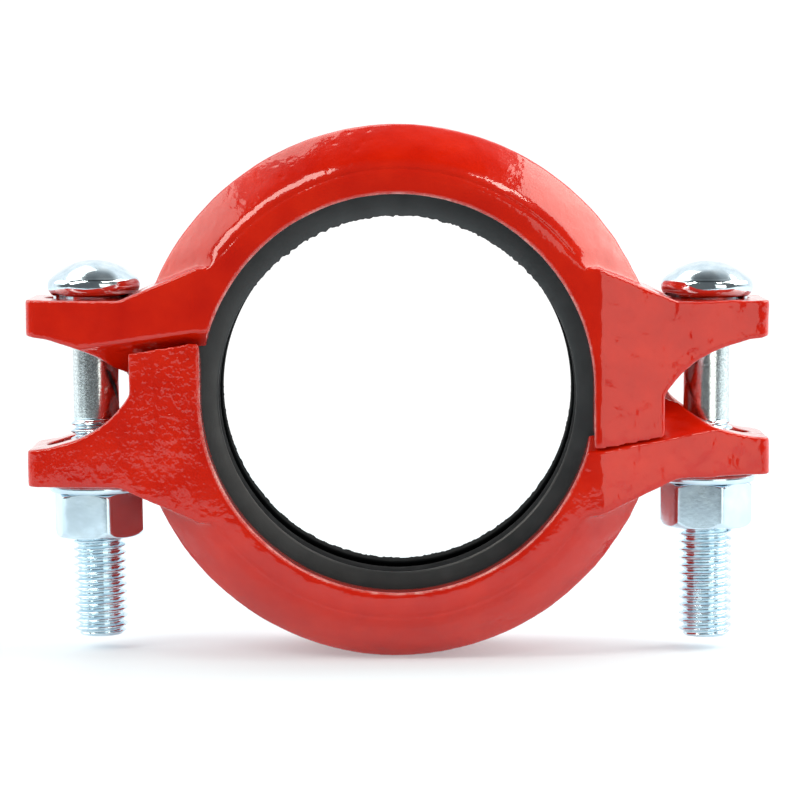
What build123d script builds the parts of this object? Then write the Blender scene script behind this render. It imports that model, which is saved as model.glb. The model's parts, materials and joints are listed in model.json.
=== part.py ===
"""Rigid grooved pipe coupling with sloped bolt pads, in millimetres.

Two identical castings clamp a rubber gasket round the ends of two grooved pipes. The pipe axis is Y and
passes through the origin, X runs from bolt to bolt, and Z points up. Each casting has a pad on either side
that slopes along the pipe, so that it ends in a tongue at one face and leaves room for the other casting's
tongue at the other face. The coupling is loosely assembled: the upper casting stands off the lower one, which
is turned a little about the pipe.
"""

from build123d import *
import os
from math import radians, sin, tan

# Casting
CASTING_WIDTH = 47.0
KEY_RADIUS = 42.2
KEY_WIDTH = 6.3
FACE_RADIUS = 48.0
CROWN_RADIUS = 57.35
CROWN_WIDTH = 28.0
POCKET_RADIUS = 53.2
POCKET_FLOOR_WIDTH = 27.0
POCKET_MOUTH_RADIUS = 45.6
POCKET_MOUTH_WIDTH = 31.2

# Bolt ears
EAR_TIP = 81.0
EAR_TOP = 19.2
EAR_UNDERSIDE = 11.0
EAR_KNEE = (76.0, 10.4)
EAR_TIP_WIDTH = 25.4
EAR_CORNER_RADIUS = 3.0
TAPER_START = 44.0
WEB_TOP = 26.5
WEB_FOOT = 60.5
TONGUE_SIDE = 57.9
THROAT_START = (71.5, 9.1)
THROAT_END_Z = -1.2
PAD_SLOPE_DEG = 28.2

# Bolts, washers and nuts
SLOT_X = 67.5
SLOT_LENGTH = 19.8
SLOT_WIDTH = 13.0
SEAT_RADIUS = 12.3
HEAD_RADIUS = 10.25
HEAD_HEIGHT = 8.0
HEAD_BASE_RADIUS = 9.2
HEAD_WIDEST_Z = 2.6
HEAD_SHOULDER = (9.6, 4.0)
NECK_LENGTH = 17.8
NECK_WIDTH = 12.2
NECK_HEIGHT = 7.4
SHANK_RADIUS = 5.05
SHANK_END = 28.9
THREAD_RADIUS = 5.85
THREAD_CHAMFER = 1.1
BOLT_LENGTH = 75.0
WASHER_RADIUS = 11.0
WASHER_BORE_RADIUS = 6.4
WASHER_THICKNESS = 2.0
NUT_ACROSS_FLATS = 18.0
NUT_HEIGHT = 10.0
NUT_BORE_RADIUS = 5.93
NUT_CORNER_DROP = 1.3
NUT_TURNS_DEG = {"left": -15.0, "right": -13.0}

# Gasket
GASKET_RADIUS = 52.5
GASKET_WIDTH = 29.6
GASKET_BACK_WIDTH = 26.4
LIP_RADIUS = 38.8
LIP_CHAMFER = 0.5
LIP_END_Y = 4.5
LIP_ROOT_RADIUS = 42.6
CAVITY_RADIUS = 47.4
CAVITY_WIDTH = 17.0

# Loose assembly, in which the bolts stand off the middle of their slots
BOLT_X = {"left": -66.8, "right": 68.2}
UPPER_LIFT = 1.2
LOWER_TURN_DEG = -1.0
SEAT_GAP = 0.05

REACH = 100.0


def face_of(points, plane):
    """A flat face with straight sides, drawn on a plane."""
    return plane * make_face(Polyline(points, close=True))


def mirrored(points):
    """Points with their copies at the opposite second coordinate, in the order that closes an outline."""
    return points + [(a, -b) for a, b in reversed(points)]


def turned(points):
    """The solid of revolution about the pipe axis of an outline in radius and distance along the pipe."""
    return revolve(face_of(points, Plane.XY), Axis.Y)


def pipe_passage():
    """What the keys and the gasket pocket leave open: round above the pipe axis, straight-sided below it."""
    half = CASTING_WIDTH / 2
    side = [
        (KEY_RADIUS, -half - 1),
        (KEY_RADIUS, -half + KEY_WIDTH),
        (POCKET_MOUTH_RADIUS, -half + KEY_WIDTH + 0.9),
        (POCKET_MOUTH_RADIUS, -POCKET_MOUTH_WIDTH / 2),
        (POCKET_RADIUS - 1.5, -POCKET_FLOOR_WIDTH / 2 - 1.2),
        (POCKET_RADIUS, -POCKET_FLOOR_WIDTH / 2),
    ]
    half_outline = [(0, -half - 1)] + mirrored(side) + [(0, half + 1)]
    full_outline = mirrored(side) + [(-a, -b) for a, b in mirrored(side)]
    straight = extrude(face_of(full_outline, Plane.XY), REACH, dir=(0, 0, -1))
    return turned(half_outline) + straight


def arch():
    """The upper half of the ring with its flat faces, its bevels and its crown, without the passage."""
    half = CASTING_WIDTH / 2
    side = [(0, -half), (FACE_RADIUS, -half), (CROWN_RADIUS, -CROWN_WIDTH / 2)]
    return turned(mirrored(side)) & Pos(0, 0, REACH / 2) * Box(2 * REACH, REACH, REACH)


def ear_outline():
    """The front view of the ear at +X: its web, its plate, the curved throat and the tongue's outer side."""
    plate_and_web = Polyline(
        (TONGUE_SIDE, -REACH / 3),
        (KEY_RADIUS - 2, -REACH / 3),
        (KEY_RADIUS - 2, WEB_TOP),
        (KEY_RADIUS + 1, WEB_TOP),
        (WEB_FOOT, EAR_TOP),
        (EAR_TIP, EAR_TOP),
        (EAR_TIP, EAR_UNDERSIDE),
        EAR_KNEE,
        THROAT_START,
    )
    throat = TangentArc(
        THROAT_START,
        (TONGUE_SIDE, THROAT_END_Z),
        tangent=(THROAT_START[0] - EAR_KNEE[0], THROAT_START[1] - EAR_KNEE[1]),
    )
    side = Line((TONGUE_SIDE, THROAT_END_Z), (TONGUE_SIDE, -REACH / 3))
    return Plane.XZ * make_face(plate_and_web + throat + side)


def ear_plan():
    """The casting seen from above on the side of +X: straight faces, then a taper to a tip with round corners."""
    half = CASTING_WIDTH / 2
    tip = EAR_TIP_WIDTH / 2
    outline = mirrored([(-REACH, -half), (TAPER_START, -half), (EAR_TIP, -tip)])
    face = face_of(outline, Plane.XY)
    corners = face.vertices().filter_by(lambda v: v.X > EAR_TIP - 1)
    return fillet(corners, EAR_CORNER_RADIUS)


def ear():
    """The ear at +X, with its bolt slot and the flat seat round it, before the pads are cut."""
    front = extrude(ear_outline(), REACH / 2, both=True)
    slot = extrude(Pos(SLOT_X, 0, 0) * SlotOverall(SLOT_LENGTH, SLOT_WIDTH), REACH)
    seat = Pos(SLOT_X, 0, EAR_TOP) * Cylinder(SEAT_RADIUS, REACH, align=(Align.CENTER, Align.CENTER, Align.MIN))
    return front - slot - seat


def below_pad():
    """Everything under the pad at +X, whose surface holds the X axis and drops towards the front."""
    rise = REACH * tan(radians(PAD_SLOPE_DEG))
    section = face_of([(-REACH, -rise), (REACH, rise), (REACH, -3 * REACH), (-REACH, -3 * REACH)], Plane.YZ)
    return extrude(section, REACH)


def casting():
    """One housing segment, arching over the pipe axis. It is its own twin when turned half round Z."""
    half_turn = Rot(0, 0, 180)
    plan = extrude(ear_plan(), REACH, both=True)
    body = (arch() + ear() + half_turn * ear()) & plan & half_turn * plan
    body -= below_pad()
    body -= half_turn * below_pad()
    return body - pipe_passage()


def gasket():
    """The C-shaped rubber ring: a back, two side walls and two lips that face each other over a cavity."""
    half = GASKET_WIDTH / 2
    side = [
        (CAVITY_RADIUS, -CAVITY_WIDTH / 2),
        (LIP_ROOT_RADIUS + 1.2, -CAVITY_WIDTH / 2 - 1.2),
        (LIP_ROOT_RADIUS, -CAVITY_WIDTH / 2),
        (LIP_RADIUS + LIP_CHAMFER, -LIP_END_Y),
        (LIP_RADIUS, -LIP_END_Y - LIP_CHAMFER),
        (LIP_RADIUS, -half + LIP_CHAMFER),
        (LIP_RADIUS + LIP_CHAMFER, -half),
        (GASKET_RADIUS - 2.2, -half),
        (GASKET_RADIUS, -GASKET_BACK_WIDTH / 2),
    ]
    return turned(mirrored(side))


def head():
    """The flattened dome of the track head, tucked in below its widest part, with its underside at z = 0."""
    middle = Polyline((0, HEAD_HEIGHT), (0, 0), (HEAD_BASE_RADIUS, 0))
    crown = TangentArc((0, HEAD_HEIGHT), HEAD_SHOULDER, tangent=(1, 0))
    shoulder = TangentArc((HEAD_RADIUS, HEAD_WIDEST_Z), HEAD_SHOULDER, tangent=(0, 1))
    tuck = TangentArc((HEAD_RADIUS, HEAD_WIDEST_Z), (HEAD_BASE_RADIUS, 0), tangent=(0, -1))
    return revolve(Plane.XZ * make_face(middle + crown + shoulder + tuck), Axis.Z)


def track_bolt():
    """A bolt that hangs from its head: oval neck, reduced shank and thread, with the seat plane at z = 0."""
    neck = extrude(SlotOverall(NECK_LENGTH, NECK_WIDTH), -NECK_HEIGHT)
    outline = face_of(
        [
            (0, 0),
            (SHANK_RADIUS, 0),
            (SHANK_RADIUS, -SHANK_END),
            (THREAD_RADIUS, -SHANK_END - (THREAD_RADIUS - SHANK_RADIUS)),
            (THREAD_RADIUS, -BOLT_LENGTH + THREAD_CHAMFER),
            (THREAD_RADIUS - THREAD_CHAMFER, -BOLT_LENGTH),
            (0, -BOLT_LENGTH),
        ],
        Plane.XZ,
    )
    return head() + neck + revolve(outline, Axis.Z)


def washer():
    """A flat ring that hangs below z = 0."""
    ring = Circle(WASHER_RADIUS) - Circle(WASHER_BORE_RADIUS)
    return extrude(ring, -WASHER_THICKNESS)


def nut():
    """A hexagon nut below z = 0, its six corners rounded off at both ends, with a bore clear of the thread."""
    prism = extrude(RegularPolygon(NUT_ACROSS_FLATS / 2, 6, major_radius=False), -NUT_HEIGHT)
    corner = NUT_ACROSS_FLATS / 2 / 0.866
    inner = NUT_ACROSS_FLATS / 2 - 0.3
    outline = [
        (0, 0),
        (inner, 0),
        (corner, -NUT_CORNER_DROP / 2),
        (corner, -NUT_HEIGHT + NUT_CORNER_DROP),
        (inner - 0.4, -NUT_HEIGHT),
        (0, -NUT_HEIGHT),
    ]
    bore = extrude(Circle(NUT_BORE_RADIUS), -NUT_HEIGHT)
    return (prism & revolve(face_of(outline, Plane.XZ), Axis.Z)) - bore


def fastener_places():
    """Where each bolt's seat plane on the upper ear is, and how the bolt leans."""
    seat = Pos(0, 0, EAR_TOP + UPPER_LIFT)
    return {
        "left": Pos(BOLT_X["left"], 0, 0) * seat * Rot(0, LOWER_TURN_DEG, 0) * Pos(0, 0, SLANT_GAP),
        "right": Pos(BOLT_X["right"], 0, 0) * seat * Pos(0, 0, SEAT_GAP),
    }


def washer_depth(side, lean_deg):
    """How far along a bolt, from its seat plane, the washer clears the lowest point of the lower ear's seat."""
    drop = BOLT_X[side] * sin(radians(-LOWER_TURN_DEG))
    slant = WASHER_RADIUS * sin(radians(abs(LOWER_TURN_DEG - lean_deg)))
    return 2 * EAR_TOP + UPPER_LIFT - drop + slant + 2 * SEAT_GAP


# The left bolt leans with the lower casting, so its head stands off the upper ear at one edge.
SLANT_GAP = HEAD_RADIUS * sin(radians(abs(LOWER_TURN_DEG))) + SEAT_GAP


def assembly():
    """Every piece in its place, by name."""
    places = fastener_places()
    depths = {
        "left": washer_depth("left", LOWER_TURN_DEG) + SLANT_GAP,
        "right": washer_depth("right", 0),
    }
    pieces = {
        "upper_housing": Pos(0, 0, UPPER_LIFT) * casting(),
        "lower_housing": Rot(0, LOWER_TURN_DEG, 0) * Rot(0, 180, 0) * casting(),
        "gasket": gasket(),
    }
    for side, place in places.items():
        under_ear = place * Pos(0, 0, -depths[side])
        pieces[side + "_bolt"] = place * track_bolt()
        pieces[side + "_washer"] = under_ear * washer()
        nut_place = under_ear * Pos(0, 0, -WASHER_THICKNESS - SEAT_GAP) * Rot(0, 0, NUT_TURNS_DEG[side])
        pieces[side + "_nut"] = nut_place * nut()
    return pieces


os.makedirs("parts", exist_ok=True)
for name, shape in assembly().items():
    export_step(shape, f"parts/{name}.step")
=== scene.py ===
"""The looks of a rigid grooved pipe coupling: painted castings, rubber gasket, zinc-plated bolts and nuts."""

import json
import math

import bmesh
import bpy
import numpy as np
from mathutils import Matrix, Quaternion, Vector, noise


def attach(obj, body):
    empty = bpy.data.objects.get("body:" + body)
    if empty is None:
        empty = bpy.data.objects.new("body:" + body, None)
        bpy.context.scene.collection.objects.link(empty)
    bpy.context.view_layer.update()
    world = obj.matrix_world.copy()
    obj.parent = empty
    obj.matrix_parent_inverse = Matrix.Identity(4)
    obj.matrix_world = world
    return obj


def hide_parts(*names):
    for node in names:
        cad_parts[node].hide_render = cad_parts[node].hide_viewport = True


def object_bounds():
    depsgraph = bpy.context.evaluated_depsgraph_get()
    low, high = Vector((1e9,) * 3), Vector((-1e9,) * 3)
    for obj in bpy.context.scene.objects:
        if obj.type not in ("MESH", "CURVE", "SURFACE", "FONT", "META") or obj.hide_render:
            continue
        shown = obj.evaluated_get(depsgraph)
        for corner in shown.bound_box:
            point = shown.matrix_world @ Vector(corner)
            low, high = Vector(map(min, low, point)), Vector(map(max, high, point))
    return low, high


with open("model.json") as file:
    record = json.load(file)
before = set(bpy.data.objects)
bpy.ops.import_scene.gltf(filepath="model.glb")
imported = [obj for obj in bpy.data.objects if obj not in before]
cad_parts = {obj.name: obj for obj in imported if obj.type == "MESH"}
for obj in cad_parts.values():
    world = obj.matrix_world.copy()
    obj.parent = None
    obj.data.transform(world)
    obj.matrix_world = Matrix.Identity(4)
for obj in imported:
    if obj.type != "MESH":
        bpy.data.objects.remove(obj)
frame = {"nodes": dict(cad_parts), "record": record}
cad_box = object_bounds()

MM = 0.001

# Camera, in front of the ring and a little above it: metres, and millimetres for its sensor
EYE = Vector((0.0006, -0.800, 0.0608))
AIM = Vector((0.0006, 0.0, -0.0024))
VIEW_WIDTH = 0.1766
SENSOR_WIDTH = 36.0

# Castings
CAST_VOXEL = 0.40 * MM
CAST_SMOOTHING = 12
CAST_TRIANGLES = 185000
CAST_HALF_WIDTH = 23.5 * MM
KEY_RADIUS = 42.2 * MM
RIDGE_RADIUS = 48.0 * MM
RIDGE_ROUNDING = 3.3 * MM
RIDGE_CUT = 0.62 * MM
CROWN_RADIUS = 57.35 * MM
CROWN_HALF_WIDTH = 14.0 * MM
BEVEL_BULGE = 0.5 * MM
BEVEL_REACH = 1.5 * MM
POCKET_RADIUS = 53.4 * MM
POCKET_HALF_WIDTH = 17.5 * MM
UPPER_LIFT = 1.2 * MM

# Paint, which lies a little inside the plain casting all over
SWELL_DEPTH = 0.10 * MM
PEEL_DEPTH = 0.045 * MM
GRAIN_DEPTH = 0.012 * MM
RUN_DEPTH = 0.025 * MM
PIT_DEPTH = 0.06 * MM
PAINT_SINK = 0.11 * MM

# Grit: its depths, and its share on the ears and elsewhere where the tongue has 1
LUMP_DEPTH = 0.10 * MM
GRIT_DEPTH = 0.12 * MM
GRIT_ON_EAR = 0.2
GRIT_ELSEWHERE = 0.08

# Where the looks of a casting change, from no effect to the full one
ABOVE_EARS = (26 * MM, 31 * MM)
BESIDE_RING = (40 * MM, 46 * MM)
TONGUE_INSIDE = (38 * MM, 44 * MM)
TONGUE_OUTSIDE = (62 * MM, 54 * MM)
TONGUE_BOTTOM = (-22 * MM, -4 * MM)
EAR_BOTTOM = (-30 * MM, -18 * MM)
# The band along the key's edge that gets a pale painted highlight, from where it starts to its full strength
EDGE_HIGHLIGHT_BAND = (0.60 * MM, 0.30 * MM)

# Bolts, along each bolt from its seat plane
DOME_RADIUS = 13.55 * MM
DOME_CENTER = -5.57 * MM
DOME_REACH = 9.5 * MM
RIM_RADIUS = 8.2 * MM
RIM_HEIGHT = 2.6 * MM
RIM_ROUNDING = 2.02 * MM
RIM_RISE = 2.0 * MM
RIM_FALL = 2.5 * MM
NECK_HALF_LENGTH = 8.9 * MM
NECK_HALF_WIDTH = 6.1 * MM
NECK_HEIGHT = 7.4 * MM
NECK_CHAMFER = (0.5 * MM, 0.6 * MM)
OUTSIDE_NECK = 9.15 * MM
SHANK_RADIUS = 5.05 * MM
SHANK_SCALE = 0.010 * MM
HEAD_DENTS = 0.015
THREAD_START = 26.6 * MM
THREAD_RADIUS = 5.83 * MM
THREAD_DEPTH = 1.05 * MM
THREAD_FADE = 1.8 * MM
CREST_SHARE = 0.16
FLANK_SHARE = 0.62
PITCH = 1.75 * MM
END_CHAMFER = 1.35 * MM
END_CHAMFER_SLOPE = 1.1
END_GAP = 0.05 * MM
END_DISH = ((3.9 * MM, 0.0), (3.2 * MM, 0.05 * MM), (1.6 * MM, 0.2 * MM), (0.0, 0.25 * MM))
ROWS_PER_PITCH = 12
BOLT_COLUMNS = 72

# Nuts and washers
NUT_COLUMNS = 144
NUT_HALF_FLATS = 9.0 * MM
CORNER_START = 10.08 * MM
CORNER_CUT = 0.62
NUT_TOP_RADII = (6.5 * MM, 7.6 * MM, 8.5 * MM)
NUT_BOTTOM_RADII = (7.9 * MM, 7.2 * MM, 6.5 * MM)
NUT_SIDE = (8.6 * MM, 3.0 * MM)
NUT_ROUNDING = 2.8 * MM
NUT_THREAD_ROWS = 70
NUT_THREAD_GAP = 0.08 * MM
NUT_SINK_DEPTH = 0.6 * MM
NUT_SINK_RADIUS = 5.3 * MM
NUT_SINK_SLOPE = 1.9
WASHER_RADIUS = 10.85 * MM
WASHER_RIM_ROUNDING = 0.75 * MM
WASHER_BORE = 6.4 * MM
WASHER_BORE_ROUNDING = 0.3 * MM
WASHER_FLAT = (9.3 * MM, 7.8 * MM)

# Gasket
GASKET_COLUMNS = 560
CAVITY_EDGE = 47.6 * MM
SIDE_WALL = 13.8 * MM
LIP_EDGE_RADIUS = 39.35 * MM
LIP_EDGE_DEPTH = 12.0 * MM
LIP_FLASH = 0.65 * MM
GASKET_WAVE = 0.08 * MM

# Zinc, from the darkest to the lightest patches
BRIGHT = ((0.56, 0.70, 0.79), (0.66, 0.80, 0.88), (0.76, 0.88, 0.94))
FORMED = ((0.58, 0.70, 0.79), (0.64, 0.77, 0.86), (0.71, 0.84, 0.91))
DRAWN = ((0.52, 0.58, 0.60), (0.70, 0.78, 0.80), (0.84, 0.91, 0.93))

# Lamps: name, azimuth, elevation and distance from the ring, width, height, radiance and roll
LAMP_COLOR = (1.0, 0.96, 0.87)
LAMPS = (
    ("right_softbox", 96, 36, 1.6, 1.40, 1.35, 5.0, 0),
    ("left_softbox", -98, 30, 1.6, 1.15, 1.0, 2.4, 0),
    ("overhead_panel", -140, 60, 1.4, 0.8, 0.5, 2.5, 0),
    ("right_fill", 31, 8, 1.3, 0.7, 0.8, 1.75, 0),
    ("key_strip", -50, 42, 1.1, 0.75, 0.28, 9.0, 61),
    ("right_key", 42, 50, 1.1, 0.22, 0.14, 15.0, 0),
)

# Floor, in metres
FLOOR_FRONT = -0.27
FLOOR_BACK = 0.50
FLOOR_LEFT = -0.60
FLOOR_RIGHT = 1.20

# Room: a direction's Y or Z where its brightness starts and stops to change, and the brightness at both
FRONT_TO_BACK = (-0.15, 0.30, 0.14, 1.12)
WALL_TO_CEILING = (0.78, 0.95, 1.0, 0.3)


# ---------------------------------------------------------------- shapes


def circle(count):
    """Angles round a full turn."""
    return np.arange(count) * 2 * math.pi / count


def noise_at(points, wavelength, shift=0.0):
    """Smooth noise between about -1 and 1 at each point."""
    scaled = points / wavelength + shift
    return np.array([noise.noise(p) for p in scaled.tolist()])


def smooth_step(low, high, value):
    """0 at low, 1 at high and smooth in between; low may be the larger of the two."""
    t = np.clip((value - low) / (high - low), 0, 1)
    return t * t * (3 - 2 * t)


def add_object(name, mesh, body, replaced, material):
    """A finished piece: shaded smooth, riding on its body, in place of its CAD node."""
    mesh.materials.clear()
    mesh.materials.append(material)
    mesh.polygons.foreach_set("use_smooth", [True] * len(mesh.polygons))
    piece = bpy.data.objects.new(name, mesh)
    bpy.context.scene.collection.objects.link(piece)
    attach(piece, body)
    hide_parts(replaced)


def use_second_material(mesh, material, chosen):
    """Gives the chosen faces of a finished piece another material."""
    mesh.materials.append(material)
    mesh.polygons.foreach_set("material_index", chosen.astype(np.int32))


def skin(name, rows, closed_rows=False):
    """A closed mesh through rows of points round an axis; rows that shrink to one point are welded."""
    count, columns = rows.shape[:2]
    faces = []
    for i in range(count if closed_rows else count - 1):
        near = i * columns
        far = (i + 1) % count * columns
        for j in range(columns):
            k = (j + 1) % columns
            faces.append((near + j, near + k, far + k, far + j))
    mesh = bpy.data.meshes.new(name)
    mesh.from_pydata(rows.reshape(-1, 3).tolist(), [], faces)
    work = bmesh.new()
    work.from_mesh(mesh)
    bmesh.ops.remove_doubles(work, verts=work.verts, dist=1e-6)
    bmesh.ops.recalc_face_normals(work, faces=work.faces)
    work.to_mesh(mesh)
    work.free()
    return mesh


def mesh_points(mesh):
    """The vertices of a mesh."""
    points = np.empty(len(mesh.vertices) * 3)
    mesh.vertices.foreach_get("co", points)
    return points.reshape(-1, 3)


def face_centers(mesh):
    """The middle of each face of a mesh."""
    centers = np.empty(len(mesh.polygons) * 3)
    mesh.polygons.foreach_get("center", centers)
    return centers.reshape(-1, 3)


def node_points(node):
    """The vertices of a CAD node at rest."""
    return mesh_points(frame["nodes"][node].data)


def kept_in_box(points, node):
    """Points moved onto their CAD node's box where they stand out of it."""
    cad = node_points(node)
    return np.clip(points, cad.min(axis=0), cad.max(axis=0))


# ---------------------------------------------------------------- castings


def modified(mesh, modifiers):
    """A mesh after modifiers, given as pairs of type and settings."""
    source = bpy.data.objects.new("source", mesh)
    bpy.context.scene.collection.objects.link(source)
    for kind, settings in modifiers:
        modifier = source.modifiers.new(kind.lower(), kind)
        for key, value in settings.items():
            setattr(modifier, key, value)
    depsgraph = bpy.context.evaluated_depsgraph_get()
    result = bpy.data.meshes.new_from_object(source.evaluated_get(depsgraph))
    bpy.data.objects.remove(source)
    return result


def softened(node):
    """A casting's mesh as an even net, with the edges and corners softened as in sand casting."""
    even_net = ("REMESH", {"mode": "VOXEL", "voxel_size": CAST_VOXEL})
    soft_edges = ("SMOOTH", {"factor": 0.5, "iterations": CAST_SMOOTHING})
    return modified(frame["nodes"][node].data.copy(), [even_net, soft_edges])


def thinned(mesh):
    """A mesh with fewer triangles where it is flat."""
    mesh.calc_loop_triangles()
    share = CAST_TRIANGLES / len(mesh.loop_triangles)
    return modified(mesh, [("DECIMATE", {"ratio": share})]) if share < 1 else mesh


def lumpiness(points, lumpy_side):
    """How gritty a casting is, up to 1: a little everywhere, and most on the tongue of one side."""
    across = points[:, 0] * lumpy_side
    height = points[:, 2]
    outside_ring = smooth_step(*TONGUE_INSIDE, across)
    tongue = outside_ring * smooth_step(*TONGUE_OUTSIDE, across) * smooth_step(*TONGUE_BOTTOM, height)
    ear = GRIT_ON_EAR * outside_ring * smooth_step(*EAR_BOTTOM, height)
    return np.maximum(np.maximum(tongue, ear), GRIT_ELSEWHERE)


def ring_place(points, center_height, way):
    """Each point's radius and distance from the middle plane; past its half circle the arch runs straight."""
    height = np.maximum((points[:, 2] - center_height) * way, 0)
    return np.hypot(points[:, 0], height), np.abs(points[:, 1])


def ring_shape(points, center_height, way):
    """How the arch differs from its plain shape: a bevel that bulges and a well rounded ridge inside it."""
    radius, depth = ring_place(points, center_height, way)
    above_ears = smooth_step(*ABOVE_EARS, (points[:, 2] - center_height) * way)
    along = (radius - RIDGE_RADIUS) / (CROWN_RADIUS - RIDGE_RADIUS)
    plane_depth = CAST_HALF_WIDTH + along * (CROWN_HALF_WIDTH - CAST_HALF_WIDTH)
    on_bevel = (along > 0) & (along < 1) & (np.abs(depth - plane_depth) < BEVEL_REACH)
    bulge = BEVEL_BULGE * on_bevel * 4 * along * (1 - along)
    from_ridge = np.hypot(radius - RIDGE_RADIUS, depth - CAST_HALF_WIDTH)
    cut = RIDGE_CUT * np.maximum(1 - from_ridge / RIDGE_ROUNDING, 0) ** 2
    return above_ears * (bulge - cut)


def paint_relief(points, lumpy_side):
    """How far the paint surface lies from the casting: swell, orange peel, runs, lumps and pits."""
    radius = np.hypot(points[:, 0], points[:, 2])
    in_pocket = (radius < POCKET_RADIUS) & (np.abs(points[:, 1]) < POCKET_HALF_WIDTH)
    beside_ring = smooth_step(*BESIDE_RING, np.abs(points[:, 0]))
    swell = noise_at(points, 9 * MM)
    peel = noise_at(points, 3.2 * MM, 20) * (1 + 1.8 * smooth_step(*BESIDE_RING, points[:, 0]))
    grain = noise_at(points, 1.3 * MM, 40)
    runs = noise_at(points * (1, 1, 0.2), 2.2 * MM, 30) * beside_ring
    pitted = smooth_step(0.1, 0.4, noise_at(points, 14 * MM, 90))
    pits = smooth_step(0.38, 0.60, noise_at(points, 1.4 * MM, 80)) * np.maximum(pitted, 0.5 * beside_ring)
    lumps = np.clip(noise_at(points, 1.4 * MM, 60), -0.1, 0.6) * (lumpiness(points, lumpy_side) - 0.1)
    paint = SWELL_DEPTH * swell + PEEL_DEPTH * peel + GRAIN_DEPTH * grain + RUN_DEPTH * runs
    return np.where(in_pocket, 0.0, paint + LUMP_DEPTH * lumps - PIT_DEPTH * pits - PAINT_SINK)


def set_attribute(mesh, name, values):
    """A number at each vertex that the material reads."""
    attribute = mesh.attributes.new(name, "FLOAT", "POINT")
    attribute.data.foreach_set("value", values)


def add_casting(name, node, lumpy_side, center_height, way, material):
    """One casting; way is 1 for the upper one, -1 for the lower one, whose arches face each other."""
    mesh = softened(node)
    points = mesh_points(mesh)
    normals = np.empty(len(mesh.vertices) * 3)
    mesh.vertices.foreach_get("normal", normals)
    relief = paint_relief(points, lumpy_side) + ring_shape(points, center_height, way)
    moved = points + normals.reshape(-1, 3) * relief[:, None]
    mesh.vertices.foreach_set("co", kept_in_box(moved, node).ravel())
    mesh.update()
    mesh = thinned(mesh)
    points = mesh_points(mesh)
    radius, depth = ring_place(points, center_height, way)
    from_key_edge = np.hypot(radius - KEY_RADIUS, depth - CAST_HALF_WIDTH)
    set_attribute(mesh, "lumpy", lumpiness(points, lumpy_side))
    # Painted highlight: pale along the key's edge, strongest at the edge itself
    set_attribute(mesh, "wear_and_edge_highlight", smooth_step(*EDGE_HIGHLIGHT_BAND, from_key_edge))
    add_object(name, mesh, node, node, material)


# ---------------------------------------------------------------- bolts


def round_row(columns, radius, height):
    """A row of one radius and height."""
    return np.full(columns, radius), height


def lathe(theta, rows):
    """Points round Z from rows of radius and height."""
    cosine = np.cos(theta)
    sine = np.sin(theta)
    return np.array([np.stack([r * cosine, r * sine, np.full_like(theta, z)], axis=1) for r, z in rows])


def bolt_axis(side):
    """The direction of a bolt, from its thread to its head."""
    joint = next(j for j in frame["record"]["behaviour"]["joints"] if j["name"] == side + "_nut_turn")
    return -np.array(joint["axis"], dtype=float)


def bolt_seat(side):
    """The point on a bolt's axis in the plane of its head's underside, and the bolt's length from there."""
    axis = bolt_axis(side)
    points = node_points(side + "_bolt")
    heights = points @ axis
    lowest = points[heights < heights.min() + 0.02 * MM]
    end = (lowest.min(axis=0) + lowest.max(axis=0)) / 2
    from_axis = np.linalg.norm(np.cross(points - end, axis), axis=1)
    length = heights[from_axis > OUTSIDE_NECK].min() - heights.min()
    return end + axis * length, length


def set_on_bolt(points, side, node):
    """Points round Z moved to the bolt of one side, and kept in their CAD node's box."""
    seat, _ = bolt_seat(side)
    axis = bolt_axis(side)
    across = np.cross((0.0, 1.0, 0.0), axis)
    across = across / np.linalg.norm(across)
    depth = np.cross(axis, across)
    placed = seat + points.reshape(-1, 3) @ np.array([across, depth, axis])
    return kept_in_box(placed, node).reshape(points.shape)


def thread_radius(theta, z):
    """Rolled right-hand thread: flat crest, straight flanks, flat root."""
    phase = np.mod(z / PITCH - theta / (2 * math.pi), 1.0)
    from_crest = np.abs(phase - 0.5) * 2
    return THREAD_RADIUS - THREAD_DEPTH * np.clip((from_crest - CREST_SHARE) / FLANK_SHARE, 0, 1)


def neck_radius(theta):
    """The oval neck, straight along its sides and round at its ends."""
    straight = NECK_HALF_LENGTH - NECK_HALF_WIDTH
    cosine = np.abs(np.cos(theta))
    sine = np.abs(np.sin(theta))
    side = NECK_HALF_WIDTH / np.maximum(sine, 1e-9)
    end = straight * cosine + np.sqrt(np.maximum(NECK_HALF_WIDTH**2 - (straight * sine) ** 2, 0))
    return np.where(side * cosine <= straight, side, end)


def rim_arc(rise, start, end, count):
    """Part of the head's rim between two angles, as radius and height over the seat plane."""
    angles = np.radians(np.linspace(start, end, count))
    return [(RIM_RADIUS + RIM_ROUNDING * math.cos(a), RIM_HEIGHT + rise * math.sin(a)) for a in angles]


def head_outline():
    """Radius and height over the seat plane, from the top of the dome to the tucked-in underside."""
    reach = np.linspace(0, DOME_REACH, 30)
    dome = [(x, math.sqrt(DOME_RADIUS**2 - x**2) + DOME_CENTER) for x in reach]
    return dome + rim_arc(RIM_RISE, 42, 0, 8) + rim_arc(RIM_FALL, -6, -78, 12)


def thread_rows(theta, end):
    """Rows along the bolt's thread, which grows out of the shank and is chamfered at the end."""
    rows = []
    steps = int((end - THREAD_START) / PITCH * ROWS_PER_PITCH)
    for z in np.linspace(-THREAD_START, -end, steps):
        depth = smooth_step(0, THREAD_FADE, -THREAD_START - z)
        radius = SHANK_RADIUS + depth * (thread_radius(theta, z) - SHANK_RADIUS)
        chamfer = THREAD_RADIUS - END_CHAMFER + (z + end) * END_CHAMFER_SLOPE
        rows.append((np.minimum(radius, chamfer), z))
    return rows


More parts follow.
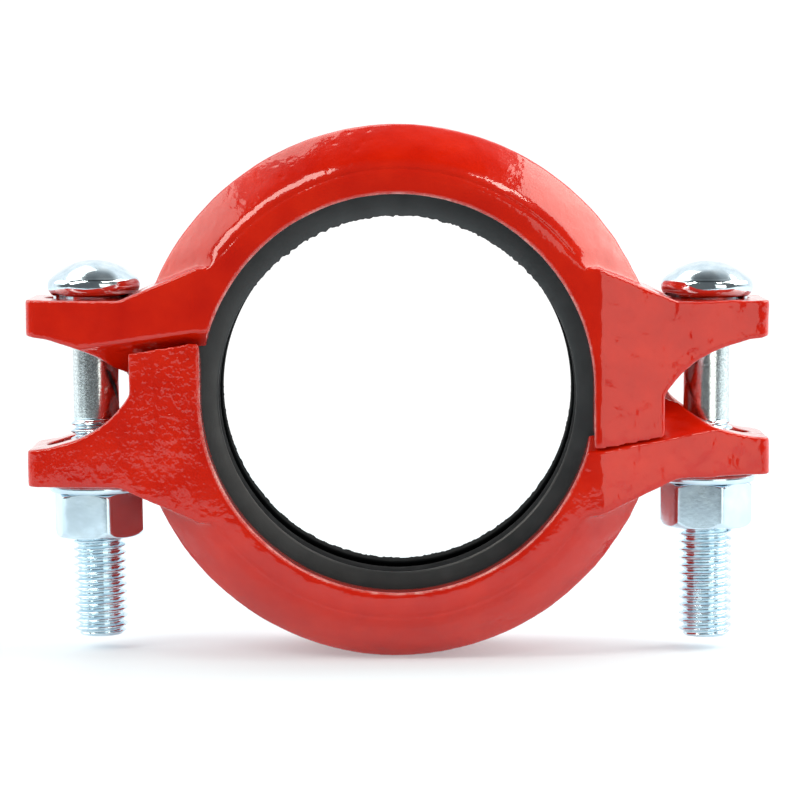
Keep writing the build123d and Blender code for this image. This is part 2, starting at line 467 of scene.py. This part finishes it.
def bolt_rows(theta, length):
    """Rows of radius and height round the bolt, from the top of the head to the dished end."""
    neck = neck_radius(theta)
    width, height = NECK_CHAMFER
    end = length - END_GAP
    rows = [round_row(BOLT_COLUMNS, r, z) for r, z in head_outline()]
    rows += [(neck, 0.1 * MM), (neck, -NECK_HEIGHT + height), (neck - width, -NECK_HEIGHT)]
    for z in np.linspace(-NECK_HEIGHT - 0.2 * MM, -THREAD_START, 60):
        rows.append(round_row(BOLT_COLUMNS, SHANK_RADIUS, z))
    rows += thread_rows(theta, end)
    rows += [round_row(BOLT_COLUMNS, r, -end + rise) for r, rise in END_DISH]
    return rows


def worn_bolt(points, seed):
    """A bolt's points with shallow dents in the head and rolling scale on the shank."""
    radial = points * (1, 1, 0)
    radial = radial / np.maximum(np.linalg.norm(radial, axis=1, keepdims=True), 1e-9)
    on_head = smooth_step(0.5 * MM, 3 * MM, points[:, 2])
    on_shank = (points[:, 2] < -NECK_HEIGHT) & (points[:, 2] > -THREAD_START)
    dents = noise_at(points, 3.4 * MM, seed) - 0.4
    scale = noise_at(points * (1, 1, 0.6), 1.2 * MM, 23) - 0.4
    points = points + radial * (on_shank * scale * SHANK_SCALE)[:, None]
    return points * (1 + (on_head * dents * HEAD_DENTS)[:, None])


def add_bolt(side, body, seed, material, shank_material):
    """A track head bolt with its oval neck, plain shank and rolled thread; the shank has its own zinc."""
    node = side + "_bolt"
    seat, length = bolt_seat(side)
    theta = circle(BOLT_COLUMNS)
    points = lathe(theta, bolt_rows(theta, length))
    wear_and_edge_highlight = worn_bolt(points.reshape(-1, 3), seed).reshape(points.shape)
    mesh = skin("threaded_" + node, set_on_bolt(wear_and_edge_highlight, side, node))
    add_object("threaded_" + node, mesh, body, node, material)
    height = (face_centers(mesh) - seat) @ bolt_axis(side)
    use_second_material(mesh, shank_material, (height > -THREAD_START) & (height < -NECK_HEIGHT))


# ---------------------------------------------------------------- nuts and washers


def span_on_axis(node, side):
    """The lowest and highest height of a node over its bolt's seat plane."""
    seat, _ = bolt_seat(side)
    heights = (node_points(node) - seat) @ bolt_axis(side)
    return heights.min(), heights.max()


def corner_angle(side):
    """Where a corner of the nut stands round its bolt."""
    seat, _ = bolt_seat(side)
    axis = bolt_axis(side)
    away = node_points(side + "_nut") - seat
    away = away - np.outer(away @ axis, axis)
    far = away[np.argmax(np.linalg.norm(away, axis=1))]
    across = np.cross((0, 1, 0), axis)
    return math.atan2(far @ np.cross(axis, across), far @ across)


def hexagon(theta, corner):
    """A hexagon's radius, with its corners a little rounded."""
    from_corner = np.mod(theta - corner, math.pi / 3)
    flat = NUT_HALF_FLATS / np.cos(from_corner - math.pi / 6)
    return flat - CORNER_CUT * np.maximum(flat - CORNER_START, 0)


def nut_outside(hexagonal, low, high):
    """Rows down a nut's outside: a chamfer on top, flat sides, and corners rounded off at the bottom."""
    rows = [round_row(NUT_COLUMNS, r, high) for r in NUT_TOP_RADII]
    for depth in (0.03, 0.1, 0.2, 0.35, 0.5, 0.7, 0.95):
        cap = (8.85 + 1.7 * math.sqrt(depth)) * MM
        rows.append((np.minimum(hexagonal, cap), high - depth * MM))
    for height in np.linspace(*NUT_SIDE, 10):
        rows.append((hexagonal, low + height))
    for height in np.linspace(NUT_ROUNDING, 0.0, 20):
        cap = (8.25 + 2.2 * math.sqrt(1 - (1 - height / NUT_ROUNDING) ** 2)) * MM
        rows.append((np.minimum(hexagonal, cap), low + height))
    rows += [round_row(NUT_COLUMNS, r, low) for r in NUT_BOTTOM_RADII]
    return rows


def nut_thread(theta, low, high):
    """Rows up a nut's thread, which follows the bolt's at a small gap and is countersunk at both ends."""
    rows = []
    for z in np.linspace(low + 0.02 * MM, high - 0.02 * MM, NUT_THREAD_ROWS):
        sink = max(0, NUT_SINK_DEPTH - min(z - low, high - z))
        thread = thread_radius(theta, z) + NUT_THREAD_GAP
        rows.append((np.maximum(thread, NUT_SINK_RADIUS + NUT_SINK_SLOPE * sink), z))
    return rows


def add_nut(side, material):
    """A hexagon nut with a thread that fits the bolt's."""
    node = side + "_nut"
    low, high = span_on_axis(node, side)
    theta = circle(NUT_COLUMNS)
    hexagonal = hexagon(theta, corner_angle(side))
    points = lathe(theta, nut_outside(hexagonal, low, high) + nut_thread(theta, low, high))
    mesh = skin("threaded_" + node, set_on_bolt(points, side, node), closed_rows=True)
    add_object("threaded_" + node, mesh, node, node, material)


def add_washer(side, material):
    """A flat washer, whose rim and bore are rounded."""
    node = side + "_washer"
    low, high = span_on_axis(node, side)
    middle = (low + high) / 2
    half = (high - low) / 2
    rows = []
    for a in np.radians(np.linspace(-90, 90, 11)):
        radius = WASHER_RADIUS - WASHER_RIM_ROUNDING * (1 - math.cos(a))
        rows.append(round_row(NUT_COLUMNS, radius, middle + half * math.sin(a)))
    rows += [round_row(NUT_COLUMNS, r, high) for r in WASHER_FLAT]
    for a in np.radians(np.linspace(90, -90, 7)):
        radius = WASHER_BORE + WASHER_BORE_ROUNDING * (1 - math.cos(a))
        rows.append(round_row(NUT_COLUMNS, radius, middle + half * math.sin(a)))
    rows += [round_row(NUT_COLUMNS, r, low) for r in reversed(WASHER_FLAT)]
    points = lathe(circle(NUT_COLUMNS), rows)
    mesh = skin("plated_" + node, set_on_bolt(points, side, node), closed_rows=True)
    add_object("plated_" + node, mesh, "lower_housing", node, material)


# ---------------------------------------------------------------- gasket


def gasket_outline():
    """Half of the section in mm, as radius and distance along the pipe, from the cavity to the back."""
    cavity = [(47.3, 0.0), (47.3, 4.0), (47.2, 7.4), (46.4, 9.0), (44.6, 9.6), (42.9, 9.0)]
    lip = [(41.6, 7.6), (40.3, 5.9), (39.3, 4.7), (38.95, 4.6)]
    bore = [(38.8, 5.2), (38.8, 8.0), (38.8, 11.0), (38.8, 13.3)]
    edge = [(38.83, 13.8), (38.95, 14.05), (39.3, 14.2)]
    face = [(40.6, 14.42), (42.2, 14.72), (45.0, 14.8), (49.2, 14.75)]
    back = [(50.2, 14.5), (51.4, 14.0), (52.3, 13.4), (52.5, 12.4), (52.5, 6.0), (52.5, 0.0)]
    return cavity + lip + bore + edge + face + back


def gasket_points(theta):
    """Points round the ring; mould flash notches the rear lip's edge and stands in from the front lip's."""
    half = gasket_outline()
    outline = half + [(r, -y) for r, y in reversed(half)][1:-1]
    cosine = np.cos(theta)
    sine = np.sin(theta)
    ring = np.stack([cosine, sine, np.zeros_like(theta)], axis=1)
    flash = LIP_FLASH * (np.abs(noise_at(ring, 0.035)) + 0.7 * np.abs(noise_at(ring, 0.016, 5)))
    most_at_top = 0.1 + 0.8 * smooth_step(0.3, 0.8, sine)
    wave = GASKET_WAVE * noise_at(ring, 0.5, 9)
    rows = []
    for r, y in np.array(outline) * MM:
        radius = r + wave
        if r < LIP_EDGE_RADIUS and abs(y) > LIP_EDGE_DEPTH:
            radius = radius + (flash if y > 0 else -flash * most_at_top)
        rows.append(np.stack([radius * cosine, np.full_like(theta, y), radius * sine], axis=1))
    return np.array(rows)


def add_gasket(material, shaded_bore_material):
    """The C-section ring, ragged at its lips; its bore and cavity get a darker, duller copy of the rubber as
    painted shade.
    """
    points = gasket_points(circle(GASKET_COLUMNS))
    kept = kept_in_box(points.reshape(-1, 3), "gasket").reshape(points.shape)
    mesh = skin("rubber_gasket", kept, closed_rows=True)
    add_object("rubber_gasket", mesh, "lower_housing", "gasket", material)
    centers = face_centers(mesh)
    radius = np.hypot(centers[:, 0], centers[:, 2])
    # Painted shade: the bore and cavity get the darker, duller rubber
    use_second_material(mesh, shaded_bore_material, (radius < CAVITY_EDGE) & (np.abs(centers[:, 1]) < SIDE_WALL))


# ---------------------------------------------------------------- materials


def make_material(name):
    """A new node material with its Principled shader."""
    material = bpy.data.materials.new(name)
    material.use_nodes = True
    return material, material.node_tree, material.node_tree.nodes["Principled BSDF"]


def noise_value(tree, size, detail):
    """Noise with features of the given size in metres, in the object's own space."""
    place = tree.nodes.new("ShaderNodeTexCoord")
    node = tree.nodes.new("ShaderNodeTexNoise")
    node.inputs["Scale"].default_value = 1 / size
    node.inputs["Detail"].default_value = detail
    tree.links.new(place.outputs["Object"], node.inputs["Vector"])
    return node.outputs["Fac"]


def remap(tree, source, low, high, out_low, out_high):
    """A clamped map of a value from one range to another."""
    node = tree.nodes.new("ShaderNodeMapRange")
    for socket, value in zip(("From Min", "From Max", "To Min", "To Max"), (low, high, out_low, out_high)):
        node.inputs[socket].default_value = value
    tree.links.new(source, node.inputs["Value"])
    return node.outputs["Result"]


def combined(tree, operation, first, second):
    """Two values combined by a Math node's operation."""
    node = tree.nodes.new("ShaderNodeMath")
    node.operation = operation
    tree.links.new(first, node.inputs[0])
    tree.links.new(second, node.inputs[1])
    return node.outputs[0]


def attribute_value(tree, name):
    """A number that the mesh keeps at its vertices, or 0 on a mesh without it."""
    node = tree.nodes.new("ShaderNodeAttribute")
    node.attribute_name = name
    return node.outputs["Fac"]


def color_between(tree, source, stops):
    """A color ramp over a value; stops are pairs of position and color."""
    ramp = tree.nodes.new("ShaderNodeValToRGB")
    while len(ramp.color_ramp.elements) < len(stops):
        ramp.color_ramp.elements.new(0.5)
    for element, (position, color) in zip(ramp.color_ramp.elements, stops):
        element.position = position
        element.color = (*color, 1)
    tree.links.new(source, ramp.inputs["Fac"])
    return ramp.outputs["Color"]


def bump_from(tree, source, distance, under=None):
    """A bump of the given depth in metres, over another bump if one is given."""
    bump = tree.nodes.new("ShaderNodeBump")
    bump.inputs["Strength"].default_value = 1.0
    bump.inputs["Distance"].default_value = distance
    tree.links.new(source, bump.inputs["Height"])
    if under:
        tree.links.new(under, bump.inputs["Normal"])
    return bump.outputs["Normal"]


def edge_highlight_color(tree, tone):
    """The paint's tone, with a pale painted highlight in patches along the key's edge."""
    patches = remap(tree, noise_value(tree, 1.5 * MM, 3), 0.35, 0.6, 0.2, 1)
    edge = tree.nodes.new("ShaderNodeMixRGB")
    # The pale pink of the painted highlight on the key's edge
    edge.inputs["Color2"].default_value = (0.80, 0.52, 0.48, 1)
    tree.links.new(combined(tree, "MULTIPLY", attribute_value(tree, "wear_and_edge_highlight"), patches), edge.inputs["Fac"])
    tree.links.new(tone, edge.inputs["Color1"])
    return edge.outputs["Color"]


def red_enamel():
    """Thick glossy red enamel, a little uneven in tone and gloss, with grit where the casting is lumpy."""
    material, tree, shader = make_material("red_enamel")
    stops = [(0.30, (0.50, 0.007, 0.0005)), (0.55, (0.57, 0.011, 0.001)), (0.75, (0.63, 0.016, 0.002))]
    tone = color_between(tree, noise_value(tree, 11 * MM, 4), stops)
    tree.links.new(edge_highlight_color(tree, tone), shader.inputs["Base Color"])
    gloss = remap(tree, noise_value(tree, 5 * MM, 4), 0.3, 0.7, 0.14, 0.24)
    tree.links.new(gloss, shader.inputs["Roughness"])
    shader.inputs["Specular IOR Level"].default_value = 0.12
    shader.inputs["Coat Weight"].default_value = 0.8
    shader.inputs["Coat Roughness"].default_value = 0.05
    peel = bump_from(tree, noise_value(tree, 1.6 * MM, 2), 0.05 * MM)
    grains = remap(tree, noise_value(tree, 1.15 * MM, 1), 0.50, 0.76, 0.0, 1.0)
    grit = combined(tree, "MULTIPLY", grains, attribute_value(tree, "lumpy"))
    surface = bump_from(tree, grit, GRIT_DEPTH, under=peel)
    tree.links.new(surface, shader.inputs["Normal"])
    tree.links.new(surface, shader.inputs["Coat Normal"])
    return material


def black_rubber(name, shade, sheen, rough_low, rough_high):
    """Moulded rubber with a faint bloom in patches; sheen is its specular level."""
    material, tree, shader = make_material(name)
    shader.inputs["Specular IOR Level"].default_value = sheen
    tones = [(0.024, 0.030, 0.034), (0.040, 0.048, 0.053), (0.058, 0.066, 0.072)]
    stops = [(place, tuple(shade * c for c in tone)) for place, tone in zip((0.35, 0.65, 0.80), tones)]
    tree.links.new(color_between(tree, noise_value(tree, 7 * MM, 5), stops), shader.inputs["Base Color"])
    gloss = remap(tree, noise_value(tree, 3 * MM, 4), 0.3, 0.7, rough_low, rough_high)
    tree.links.new(gloss, shader.inputs["Roughness"])
    grain = bump_from(tree, noise_value(tree, 0.5 * MM, 3), 0.02 * MM)
    tree.links.new(grain, shader.inputs["Normal"])
    return material


def zinc_plate(name, tones, patch, rough_low, rough_high, grain, depth):
    """Bright blue-white zinc on steel, with patches of slightly other tone and gloss over a fine grain."""
    material, tree, shader = make_material(name)
    shader.inputs["Metallic"].default_value = 1.0
    stops = list(zip((0.32, 0.50, 0.68), tones))
    tree.links.new(color_between(tree, noise_value(tree, patch, 6), stops), shader.inputs["Base Color"])
    gloss = remap(tree, noise_value(tree, patch * 0.7, 6), 0.35, 0.65, rough_low, rough_high)
    tree.links.new(gloss, shader.inputs["Roughness"])
    relief = bump_from(tree, noise_value(tree, grain, 3), depth)
    tree.links.new(relief, shader.inputs["Normal"])
    return material


# ---------------------------------------------------------------- studio


def around(azimuth, elevation, distance):
    """A place seen from the ring at an azimuth (0 is the camera's side, 90 is +X) and an elevation."""
    a = math.radians(azimuth)
    e = math.radians(elevation)
    return distance * Vector((math.sin(a) * math.cos(e), -math.cos(a) * math.cos(e), math.sin(e)))


def add_lamp(name, place, width, height, radiance, roll):
    """A soft rectangular lamp aimed at the ring, as bright to look at as its radiance; roll is in degrees."""
    light = bpy.data.lights.new(name, "AREA")
    light.shape = "RECTANGLE"
    light.size = width
    light.size_y = height
    light.energy = radiance * width * height * math.pi
    light.color = LAMP_COLOR
    lamp = bpy.data.objects.new(name, light)
    bpy.context.scene.collection.objects.link(lamp)
    lamp.location = place
    aimed = (-place).to_track_quat("-Z", "Y")
    lamp.rotation_euler = (aimed @ Quaternion((0, 0, 1), math.radians(roll))).to_euler()


def add_floor():
    """A plain pale table top under the ring, which glows a little so that its shadows stay pale."""
    low = cad_box[0].z
    corners = [
        (FLOOR_LEFT, FLOOR_FRONT, low),
        (FLOOR_RIGHT, FLOOR_FRONT, low),
        (FLOOR_RIGHT, FLOOR_BACK, low),
        (FLOOR_LEFT, FLOOR_BACK, low),
    ]
    mesh = bpy.data.meshes.new("floor")
    mesh.from_pydata(corners, [], [(0, 1, 2, 3)])
    floor = bpy.data.objects.new("floor", mesh)
    bpy.context.scene.collection.objects.link(floor)
    material, _, shader = make_material("floor")
    shader.inputs["Base Color"].default_value = (0.50, 0.58, 0.63, 1)
    shader.inputs["Roughness"].default_value = 0.7
    shader.inputs["Emission Color"].default_value = (0.93, 0.97, 1.0, 1)
    shader.inputs["Emission Strength"].default_value = 0.34
    mesh.materials.append(material)


def add_camera():
    """A long lens on the front of the ring."""
    camera = bpy.data.cameras.new("camera")
    camera.sensor_width = SENSOR_WIDTH
    camera.lens = SENSOR_WIDTH * (AIM - EYE).length / VIEW_WIDTH
    camera.clip_start = 0.05
    camera.clip_end = 20.0
    holder = bpy.data.objects.new("camera", camera)
    bpy.context.scene.collection.objects.link(holder)
    holder.location = EYE
    holder.rotation_euler = (AIM - EYE).to_track_quat("-Z", "Y").to_euler()
    bpy.context.scene.camera = holder


def add_world():
    """A room whose ceiling and camera side light the object less, though the camera sees it all white."""
    world = bpy.data.worlds.new("world")
    bpy.context.scene.world = world
    world.use_nodes = True
    tree = world.node_tree
    place = tree.nodes.new("ShaderNodeTexCoord")
    split = tree.nodes.new("ShaderNodeSeparateXYZ")
    tree.links.new(place.outputs["Generated"], split.inputs["Vector"])
    front = remap(tree, split.outputs["Y"], *FRONT_TO_BACK)
    ceiling = remap(tree, split.outputs["Z"], *WALL_TO_CEILING)
    backdrop = tree.nodes.new("ShaderNodeLightPath").outputs["Is Camera Ray"]
    strength = combined(tree, "MAXIMUM", combined(tree, "MULTIPLY", front, ceiling), backdrop)
    tree.links.new(strength, tree.nodes["Background"].inputs["Strength"])
    tree.nodes["Background"].inputs["Color"].default_value = (1.0, 1.0, 1.0, 1)


# ---------------------------------------------------------------- the whole scene

RED = red_enamel()
RUBBER = black_rubber("black_rubber", 0.62, 0.6, 0.34, 0.46)
# A darker, duller copy of the rubber: painted shade for the gasket's bore and cavity
SHADED_BORE_RUBBER = black_rubber("black_rubber_painted_shade", 0.2, 0.02, 0.70, 0.85)
ZINC_BOLT = zinc_plate("zinc_on_forged_steel", BRIGHT, 2.5 * MM, 0.08, 0.14, 0.6 * MM, 0.005 * MM)
ZINC_SHANK = zinc_plate("zinc_on_drawn_steel", DRAWN, 0.5 * MM, 0.12, 0.24, 0.28 * MM, 0.016 * MM)
ZINC_NUT = zinc_plate("zinc_on_cold_formed_steel", FORMED, 5.0 * MM, 0.13, 0.20, 0.8 * MM, 0.005 * MM)

CARRIED = {
    "upper_housing": RED,
    "lower_housing": RED,
    "gasket": RUBBER,
    "left_bolt": ZINC_BOLT,
    "right_bolt": ZINC_BOLT,
    "left_washer": ZINC_NUT,
    "right_washer": ZINC_NUT,
    "left_nut": ZINC_NUT,
    "right_nut": ZINC_NUT,
}
for node, material in CARRIED.items():
    frame["nodes"][node].material_slots[0].material = material

add_casting("painted_upper_casting", "upper_housing", 0, UPPER_LIFT, 1, RED)
add_casting("painted_lower_casting", "lower_housing", -1, 0.0, -1, RED)
add_gasket(RUBBER, SHADED_BORE_RUBBER)
add_bolt("left", "left_bolt", 11, ZINC_BOLT, ZINC_SHANK)
add_bolt("right", "upper_housing", 17, ZINC_BOLT, ZINC_SHANK)
for side in ("left", "right"):
    add_nut(side, ZINC_NUT)
    add_washer(side, ZINC_NUT)

add_floor()
add_camera()
add_world()
for name, azimuth, elevation, distance, width, height, radiance, roll in LAMPS:
    add_lamp(name, around(azimuth, elevation, distance), width, height, radiance, roll)
bpy.context.scene.view_settings.view_transform = "Standard"
